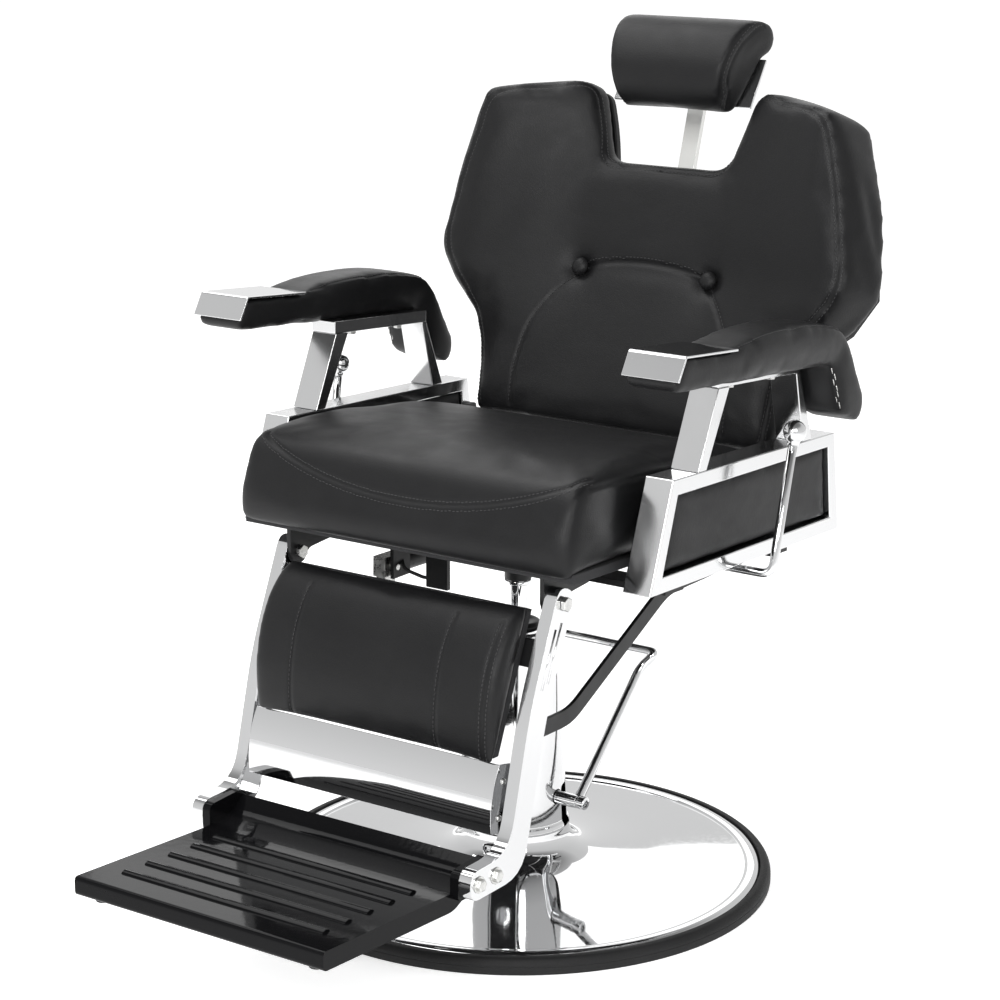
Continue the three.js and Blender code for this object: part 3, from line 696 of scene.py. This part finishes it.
def add_base():
    sweep = smooth_curve([(66, 70), (68.5, 58), (76, 47), (92, 37.5), (120, 30.5), (170, 24.5),
                          (230, 21), (292, 18.4)])
    lip = rounded_profile([(292, 18.4), (294.5, 21, 1.5), (303, 21.6, 5), (311.3, 18, 4), (311.3, 9)])
    under = [(309.5, 9), (309.5, 15), (292, 16), (170, 22), (120, 28), (92, 35), (75, 44), (66.5, 57),
             (64.3, 70)]
    add_turned("dish_shell", [*sweep, *lip[1:], *under], "base", CHROME, ["base_dish"], 192,
               closed=True, edge=0.3)
    tyre = rounded_profile([(311.8, 0, 1), (325, 0, 2), (325, 9.5, 0.6), (324.3, 10.2, 0.4),
                            (325, 10.9, 0.6), (324.4, 14, 2), (320.5, 20, 4), (311.8, 20.6, 1.5)],
                           closed=True)
    add_turned("edge_ring", tyre, "base", RUBBER, ["base_ring"], 160, closed=True)
    finish_node("base_plate", BLACK, 0.6)
    finish_node("pump_cylinder", BLACK, 0.8)
    nut = rounded_profile([(14, 320.3), (30, 320.3), (30, 334, 2), (26, 338, 2), (14, 338)])
    add_turned("gland_ring", nut, "base", BLACK, ["gland_nut"], 96, closed=True)


def cut_by(piece, cutters):
    """Cuts closed shapes, each (vertices, faces), out of a piece."""
    for i, cutter in enumerate(cutters):
        tool = bpy.data.objects.new(f"cutter_{i}", joined_mesh(f"cutter_{i}", [cutter]))
        bpy.context.scene.collection.objects.link(tool)
        tidy_normals(tool)
        modifier = piece.modifiers.new("cut", "BOOLEAN")
        modifier.operation = "DIFFERENCE"
        modifier.object = tool
        modifier.solver = "EXACT"
        baked(piece)
        bpy.data.objects.remove(tool)


def prism(outline, x0, x1):
    """An outline of (y, z) points run along X."""
    count = len(outline)
    vertices = [mm(x, y, z) for x in (x0, x1) for y, z in outline]
    faces = [[i, (i + 1) % count, count + (i + 1) % count, count + i] for i in range(count)]
    return vertices, faces + [list(range(count))[::-1], list(range(count, 2 * count))]


def add_column_cover():
    outside = rounded_profile([(64, 70), (67.2, 70, 0.6), (67.2, 73, 0.6), (65.8, 77, 1), (63.4, 79.5, 2),
                               (52, 326, 4), (49, 332, 2.5), (31, 332)], 6)
    inside = [(31, 330), (47.5, 330), (50, 325), (61.5, 79), (64, 76)]
    shell = add_turned("cover_shell", outside + inside, "base", CHROME, ["column_cover"], 160,
                       closed=True)
    slot = rounded_profile([(9, 60), (30, 60), (30, 126, 8), (9, 126, 8)], 5, closed=True)
    cutters = [turned([(0, -90), (10, -90), (10, 90), (0, 90)], 40, place=axis_place((0, 0, 114), X))]
    cutters += [prism(slot, -90, -20), prism(slot, 20, 90)]
    cut_by(shell, cutters)
    bevelled(shell, 0.5, 2, 40)


def add_pump_lever():
    foot, knee, corner = (92, 5, 119), (94, 140, 254), (112, 152, 275)
    far = [(-x, y, z) for x, y, z in (corner, knee, foot)]
    path = eased_path([foot, knee, corner, *far], 12.5)
    parts = [swept(path, circle(6.3, 24))]
    boss = rounded_profile([(0, 39), (8.5, 39), (8.5, 92.5, 0.5), (7.2, 93.2), (7.2, 95), (8.5, 95.8, 0.5),
                            (8.5, 105, 1.2), (4.3, 105), (4.3, 99), (0, 98)], 3)
    parts += [turned(boss, 40, place=axis_place((0, 0, 114), side * X)) for side in (1, -1)]
    lever = new_piece("lever_hoop", joined_mesh("lever_hoop", parts), "pump_lever", CHROME,
                      ["pump_lever"])
    tidy_normals(lever)
    bevelled(lever, 0.4, 2, 50)


def add_piston():
    rod = rounded_profile([(0, 130), (13.5, 130), (13.5, 392, 1), (11, 400, 1), (11, 448), (0, 448)])
    add_turned("piston_shaft", rod, "piston", CHROME, ["piston_rod"], 64)
    flange = rounded_profile([(13.8, 386), (17, 386, 1), (17, 391, 1), (13.8, 391)])
    add_turned("piston_collar", flange, "piston", CHROME, ["piston_flange"], 64, closed=True)
    housing = rounded_profile([(14, 391.8), (17, 391.8, 1), (17, 410, 1), (26, 414, 2), (26, 450),
                               (14, 450)])
    add_turned("swivel_boss", housing, "seat", BLACK, ["swivel_housing"], 64, closed=True)


# ------------------------------------------------------------------ seat

def arch_height(x):
    """Height of the seat's front seam: it dips between the two top corners."""
    return 545.5 + 50 * (abs(x) / 240) ** 2.1


def add_seat():
    finish_node("seat_board", LINING, 1)
    finish_node("under_frame", BLACK, 0.8)
    pad = cushion("seat_pad", "seat_cushion", "seat", 6, 18, cap=4, pressure=3,
                  held=lambda x, y, z: z < 492 or y > 195)
    front = surface_tree(pad)
    arc = [mm(x, -250, arch_height(x)) for x in np.linspace(-230, 230, 60)]
    arc = [hit[0] for hit in cast(front, arc, Y)]
    stitches = seam(pad, arc, (2.2, -8.5), 2.2, 2.8)
    for side in (-1, 1):
        edge = [mm(side * 247, y, 590 - (y + 200) * 0.105) for y in np.linspace(-205, 175, 40)]
        edge = [hit[0] for hit in nearest(surface_tree(pad), edge)]
        crease(pad, even(edge, 2), 1.2, 2.6)
    add_stitches("seat_stitching", "seat", stitches)


def add_side_frames():
    for side in ("left", "right"):
        sign = 1 if side == "left" else -1
        finish_node(f"side_frame_{side}", POLISHED, 1.4, 3)
        for post in ("arm_post_front", "arm_post_rear", "arm_bar"):
            finish_node(f"{post}_{side}", POLISHED, 1.0, 3)
        finish_node(f"arm_cap_{side}", CHROME, 1.0, 3)
        finish_node(f"hinge_block_{side}", BLACK, 0.8)
        finish_node(f"leg_bracket_{side}", BLACK, 0.6)
        finish_node(f"leg_pivot_bolt_{side}", ZINC, 0.8)
        cushion(f"side_padding_{side}", f"side_panel_{side}", "seat", 3, 1, cap=1.5, pressure=2,
                held=lambda x, y, z: abs(x) < 292, finer=0)
        add_arm_pad(side, sign)


def add_arm_pad(side, sign):
    """One armrest's pad with its stitching, its staples and the bolts below it."""
    pad = cushion(f"arm_padding_{side}", f"arm_pad_{side}", "seat", 4, 8, cap=3, pressure=3,
                  held=lambda x, y, z: y < -60 and z > 700)
    rows = []
    for x in (PAD_INNER + 7, PAD_OUTER - 7):
        line = [(y, 790) for y in np.linspace(-55, 185, 40)]
        path = [hit[0] for hit in cast(surface_tree(pad), [mm(sign * x, *p) for p in line], -Z)]
        rows += seam(pad, path, (1.8,), 0.8, 2.2)
    add_stitches(f"arm_stitching_{side}", "seat", rows)
    staples = []
    for t in np.linspace(0.08, 0.92, 7):
        y, z = 173 + 20 * t, 672 - 54 * t
        x = sign * (PAD_OUTER - 9 - 3 * (round(t * 7) % 2))
        wire = [Vector((x, y - 1, z + 4)), Vector((x + sign * 0.8, y + 1.5, z - 4))]
        staples.append(swept(wire, circle(0.7, 6)))
    row = new_piece(f"staples_{side}", joined_mesh("staples", staples), "seat", ZINC)
    tidy_normals(row)
    bolts = []
    for y in (28, 126):
        bolts += hex_head((sign * 281.6, y, 690.8 - 0.0751 * y - 16.3), -Z, 10, 5, 7.5)
    heads = new_piece(f"arm_bolts_{side}", joined_mesh("arm_bolts", bolts), "seat", ZINC,
                      smooth=False)
    tidy_normals(heads)


def add_recline_lever():
    x, y, z = 343, 78.5, 611
    ends = [(x, y - 1.6, z - 8), (x - 6, 44, 442)]
    path = eased_path([*ends, *[(-a, b, c) for a, b, c in reversed(ends)]], 16, 10)
    rod = new_piece("recline_hoop", joined_mesh("recline_hoop", [swept(path, circle(5.5, 24))]),
                    "recline_lever", CHROME, ["recline_rod"])
    tidy_normals(rod)
    lean = Vector((0, 34.5, 169)).normalized()
    for side, sign in (("left", 1), ("right", -1)):
        arc = [(13.9 * math.sin(a), -13.9 * math.cos(a)) for a in np.linspace(0.5, math.pi, 18)]
        ball = [(0, -16), (7.4, -16), (7.4, -12.5), *arc[1:-1], (0, 13.9)]
        add_turned(f"lever_ball_{side}", ball, "recline_lever", CHROME,
                   [f"recline_ball_{side}"], 48, place=axis_place((sign * x, y, z), lean))


# ------------------------------------------------------------------ back

BUTTON_X, BUTTON_HEIGHT = 98, 183.5

WING_LINE = [(222, -10), (228, 60), (238, 102, 40), (307, 188, 40), (287, 292, 60), (255, 404, 34),
             (121, 433, 24), (100, 372, 36), (88, 326, 18), (0, 326)]


def wing_path(inset):
    """Half of the front face's edge, moved inward, as points in the back's frame."""
    points = [Vector(p) for p in rounded_profile(WING_LINE, 6)]
    moved = []
    for i, point in enumerate(points):
        ahead = points[min(i + 1, len(points) - 1)] - points[max(i - 1, 0)]
        inward = Vector((-ahead.y, ahead.x)).normalized()
        moved.append(point + inward * inset)
    return moved


def by_the_board(x, y, z):
    """True for the part of the back cushion that is stapled down beside its board."""
    return (BACK_FRAME.inverted() @ Vector((x, y, z))).y > -24


def add_back():
    pad = cushion("back_padding", "back_cushion", "back", 6, 18, cap=4, pressure=3, held=by_the_board,
                  frame_matrix=BACK_FRAME)
    backward = (BACK_FRAME.to_3x3() @ Y).normalized()
    lower_foot(pad)
    press_buttons(pad)
    stitches = []
    for sign in (1, -1):
        rim = [back_point(sign * p.x, -60, p.y) for p in wing_path(6)]
        rim = [hit[0] for hit in cast(surface_tree(pad), rim, backward)]
        stitches += seam(pad, rim, (sign * 1.8, sign * -6.5), 1.5, 2.4)
        panel = smooth_curve([(98, 176), (128, 140), (152, 95), (162, 40), (163, -10)])
        panel = [back_point(sign * x, -60, h) for x, h in panel]
        panel = [hit[0] for hit in cast(surface_tree(pad), panel, backward)]
        stitches += seam(pad, panel, (sign * 1.6,), 2.2, 3)
    yoke = smooth_curve([(-90, 186), (-50, 194), (0, 197), (50, 194), (90, 186)])
    yoke = [back_point(x, -60, h) for x, h in yoke]
    yoke = [hit[0] for hit in cast(surface_tree(pad), yoke, backward)]
    stitches += seam(pad, yoke, (6.5,), 3, 3.2)
    add_stitches("back_stitching", "back", stitches)
    covered_board("back_panel", "back_board", "back", 4)
    for side, sign in (("left", 1), ("right", -1)):
        dome = smooth_curve([(0, 5.6), (5, 5.0), (9, 3.2), (11.6, 0.2), (12, -2), (10.5, -4.5)], 4)
        face = axis_place(back_point(sign * BUTTON_X, -57.5, BUTTON_HEIGHT) / MM, -backward)
        add_turned(f"button_{side}", [*dome, (0, -4.5)], "back", LEATHER,
                   [f"back_button_{side}"], 40, place=face)
    finish_node("hinge_frame", BLACK, 0.8)
    finish_node("headrest_socket", BLACK, 1)


def lower_foot(pad):
    """Stretches the cushion's foot down behind the seat, so that no gap shows between them."""
    inverse = np.array(BACK_FRAME.inverted())
    height = (places(pad) / MM @ inverse[:3, :3].T + inverse[:3, 3])[:, 2]
    amount = np.clip((50 - height) / 74, 0, 1)
    down = np.array(BACK_FRAME.to_3x3() @ -Z)
    move_to(pad, places(pad) + down * (10 * amount * amount * MM)[:, None])


def press_buttons(pad):
    """Pulls the cover in round the two buttons, and a shallow valley between them."""
    points = places(pad)
    inverse = np.array(BACK_FRAME.inverted())
    local = points / MM @ inverse[:3, :3].T + inverse[:3, 3]
    front = np.clip((-local[:, 1] - 30) / 20, 0, 1)
    depth = np.zeros(len(points))
    for x in (-BUTTON_X, BUTTON_X):
        reach = np.hypot(local[:, 0] - x, local[:, 2] - BUTTON_HEIGHT)
        depth += 11 * np.exp(-((reach / 17) ** 2)) + 4 * np.exp(-((reach / 48) ** 2))
    between = np.clip(1 - (np.abs(local[:, 0]) / BUTTON_X) ** 4, 0, 1)
    depth += 3 * between * np.exp(-(((local[:, 2] - 192) / 16) ** 2))
    backward = np.array(BACK_FRAME.to_3x3() @ Y)
    move_to(pad, points + backward * (depth * front * MM)[:, None])


# ------------------------------------------------------------------ headrest

PILLOW_HALF = 106
PILLOW_TAPER_DEPTH = 60


def pillow_half(height):
    """Half width of the pillow's front face, which widens upward."""
    return 78 + (height - 405) * 0.21


def taper_pillow(pillow):
    """Narrows the pillow towards its front, so that its end caps turn to the front."""
    inverse, back = np.array(BACK_FRAME.inverted()), np.array(BACK_FRAME)
    local = places(pillow) / MM @ inverse[:3, :3].T + inverse[:3, 3]
    amount = np.clip(-local[:, 1] / PILLOW_TAPER_DEPTH, 0, 1)
    amount = amount * amount * (3 - 2 * amount)
    narrow = PILLOW_HALF - pillow_half(local[:, 2])
    local[:, 0] *= (PILLOW_HALF - amount * narrow) / PILLOW_HALF
    move_to(pillow, (local @ back[:3, :3].T + back[:3, 3]) * MM)


def add_headrest():
    finish_node("headrest_bar", ALUMINIUM, 0.6)
    finish_node("pillow_plate", CHROME, 0.6)
    pillow = cushion("pillow", "headrest_pillow", "headrest", 4, 8, cap=3, pressure=3,
                     frame_matrix=BACK_FRAME, held=lambda x, y, z: False)
    taper_pillow(pillow)
    backward = (BACK_FRAME.to_3x3() @ Y).normalized()
    rows = []
    for sign in (1, -1):
        edge = [back_point(sign * (pillow_half(h) - 1), -140, h) for h in np.linspace(408, 520, 30)]
        edge = [hit[0] for hit in cast(surface_tree(pillow), edge, backward)]
        rows += seam(pillow, edge, (sign * 1.8, sign * 8.5), 1.4, 2.4)
    add_stitches("pillow_stitching", "headrest", rows)


# ------------------------------------------------------------------ leg rest

def add_kick_plate():
    """A chromed sheet, slightly bowed, with its two sides folded back."""
    top, foot = Vector((-296, 270)), Vector((-313, 190))
    out = Vector((foot.y - top.y, top.x - foot.x)).normalized()
    bow = [top.lerp(foot, t) + out * 28 * t * (1 - t) for t in np.linspace(0, 1, 17)]
    sheet = [*bow, *[p - out * 1.5 for p in reversed(bow)]]
    parts = [prism([tuple(p) for p in sheet], -LEG_HALF, LEG_HALF)]
    fold = [*bow, foot + Vector((22, -4)), top + Vector((22, -4))]
    for side in (-1, 1):
        parts.append(prism([tuple(p - out * 0.4) for p in fold], side * (LEG_HALF - 1.6), side * LEG_HALF))
    plate = new_piece("kick_sheet", joined_mesh("kick_sheet", parts), "legrest", CHROME,
                      ["kick_plate"])
    tidy_normals(plate)
    bevelled(plate, 0.35, 2, 50)


def add_leg_rest():
    for side, sign in (("left", 1), ("right", -1)):
        finish_node(f"leg_arm_{side}", CHROME, 1.2, 3)
        beads = []
        for shift in (-6, 6):
            ends = [Vector((sign * (ARM_OUTER - 0.3), y + shift, z + shift * 0.42))
                    for y, z in ((-216, 420), (-244, 354))]
            beads.append(swept(ends, circle(1.6, 12)))
        ridges = new_piece(f"arm_beads_{side}", joined_mesh("arm_beads", beads), "legrest", CHROME)
        tidy_normals(ridges)
        foot_bolts = []
        for y in (-340, -373):
            foot_bolts += hex_head((sign * ARM_OUTER, y, 156), sign * X, 13, 5, 10)
        heads = new_piece(f"foot_bolts_{side}", joined_mesh("foot_bolts", foot_bolts), "legrest", ZINC,
                          smooth=False)
        tidy_normals(heads)
    finish_node("leg_board", LINING, 1)
    finish_node("leg_strap", BLACK, 0.6)
    add_kick_plate()
    finish_node("footplate", ENAMEL, 1.6, 3)
    stud = rounded_profile([(0, 127), (9, 127, 1.5), (10, 133.5, 1), (10, 136), (0, 136)])
    for side, x in (("left", 155), ("right", -155)):
        add_turned(f"foot_stud_{side}", stud, "legrest", RUBBER, (), 32,
                   place=lambda v, x=x: (v + Vector((x, -600, 0))) * MM)
    pad = cushion("calf_pad", "leg_cushion", "legrest", 5, 10, cap=3.5, pressure=3,
                  held=lambda x, y, z: False)
    rows = []
    for x, offsets in ((-118, (2,)), (96, (2,)), (160, (2, -7))):
        path = [mm(x, -400, z) for z in np.linspace(276, 428, 30)]
        path = [hit[0] for hit in cast(surface_tree(pad), path, Y)]
        rows += seam(pad, path, offsets, 1.4, 2.4)
    add_stitches("calf_stitching", "legrest", rows)
    screws = []
    for z in (250, 208):
        y = -296 + (270 - z) * -0.2125 + 11
        screws += screw_head((LEG_HALF, y, z - 2), X, 4.2, 2.6)
        screws += screw_head((-LEG_HALF, y, z - 2), -X, 4.2, 2.6)
    heads = new_piece("kick_screws", joined_mesh("kick_screws", screws), "legrest", ZINC)
    tidy_normals(heads)


# ------------------------------------------------------------------ link and gas spring

def add_linkage():
    """The link bar, the gas spring and the wire of its release."""
    wire = eased_path([(-88, -126, 436), (-72, -140, 424), (-46, -130, 414), (-38, -123, 418)], 7, 6)
    cable = new_piece("release_cable", joined_mesh("release_cable", [swept(wire, circle(2.2, 12))]),
                      "seat", RUBBER)
    tidy_normals(cable)
    finish_node("link_bar", BLACK, 0.8)
    finish_node("release_head", ZINC, 0.8)
    finish_node("gas_rod", STEEL, 0.4)
    finish_node("gas_cylinder", BLACK, 0.8)


# ------------------------------------------------------------------ studio

def add_camera():
    """A camera at the front left corner, looking a little down."""
    data = bpy.data.cameras.new("camera")
    data.sensor_width = 36
    data.lens = 2708.56 / 1000 * 36
    data.shift_x, data.shift_y = 0.0166, 0.0153
    camera = bpy.data.objects.new("camera", data)
    yaw, pitch = math.radians(35.4), math.radians(14.9)
    forward = Vector((-math.sin(yaw) * math.cos(pitch), math.cos(yaw) * math.cos(pitch),
                      -math.sin(pitch)))
    camera.location = (1.8507, -2.6789, 1.3391)
    camera.rotation_mode = "QUATERNION"
    camera.rotation_quaternion = forward.to_track_quat("-Z", "Y")
    bpy.context.scene.collection.objects.link(camera)
    bpy.context.scene.camera = camera


def add_floor():
    half = 60.0
    floor = bpy.data.objects.new("floor", mesh_of("floor", [
        (-half, -half, 0), (half, -half, 0), (half, half, 0), (-half, half, 0)], [[0, 1, 2, 3]]))
    material, tree, shader = principled("floor_paper", (0.9, 0.9, 0.9), 0, 0.8)
    shader.inputs["Specular IOR Level"].default_value = 0.1
    shader.inputs["Emission Color"].default_value = (1, 1, 1, 1)
    shader.inputs["Emission Strength"].default_value = 0.6
    mottle = texture(tree, "ShaderNodeTexNoise", 3, Detail=2.0)
    tint(tree, shader, mottle.outputs["Fac"], (0.89, 0.89, 0.89), (0.91, 0.91, 0.91))
    floor.data.materials.append(material)
    bpy.context.scene.collection.objects.link(floor)


def add_light(name, place, target, size, power):
    data = bpy.data.lights.new(name, "AREA")
    data.shape = "RECTANGLE"
    data.size, data.size_y = size
    data.energy = power
    light = bpy.data.objects.new(name, data)
    light.location = place
    light.rotation_mode = "QUATERNION"
    light.rotation_quaternion = (Vector(target) - Vector(place)).to_track_quat("-Z", "Y")
    bpy.context.scene.collection.objects.link(light)


# Brightness of the studio's walls and ceiling, from straight down to straight up.
WALL_LEVELS = [(-1.0, 0.9), (0.0, 0.95), (0.3, 0.85), (0.6, 0.75), (0.8, 0.3), (1.0, 0.2)]


def add_studio():
    """A pale room round the chair and five soft lights."""
    world = bpy.data.worlds.new("studio")
    bpy.context.scene.world = world
    world.use_nodes = True
    tree = world.node_tree
    backdrop = tree.nodes["Background"]
    coordinates = tree.nodes.new("ShaderNodeTexCoord")
    split = tree.nodes.new("ShaderNodeSeparateXYZ")
    ramp = tree.nodes.new("ShaderNodeValToRGB")
    tree.links.new(coordinates.outputs["Generated"], split.inputs["Vector"])
    tree.links.new(remap(tree, split.outputs["Z"], 0, 1, -1, 1), ramp.inputs["Fac"])
    tree.links.new(ramp.outputs["Color"], backdrop.inputs["Color"])
    stops = ramp.color_ramp.elements
    for height, _ in WALL_LEVELS[1:-1]:
        stops.new((height + 1) / 2)
    for stop, (_, level) in zip(stops, WALL_LEVELS):
        stop.color = (level, level, level, 1)
    backdrop.inputs["Strength"].default_value = 1.0
    middle = (0, 0, 0.55)
    add_light("key", (-0.9, -1.5, 3.4), middle, (2.0, 1.6), 40)
    add_light("fill", (2.3, -2.3, 2.1), middle, (1.2, 1.5), 34)
    add_light("front", (0.6, -3.4, 1.8), middle, (0.9, 1.3), 44)
    add_light("top", (-1.5, 0.4, 3.2), middle, (1.8, 1.8), 34)
    add_light("rim", (-1.8, 2.8, 2.2), middle, (2.4, 1.8), 14)
    bpy.context.scene.view_settings.view_transform = "Standard"


add_camera()
add_base()
add_column_cover()
add_pump_lever()
add_piston()
add_seat()
add_side_frames()
add_recline_lever()
add_back()
add_headrest()
add_leg_rest()
add_linkage()
add_floor()
add_studio()
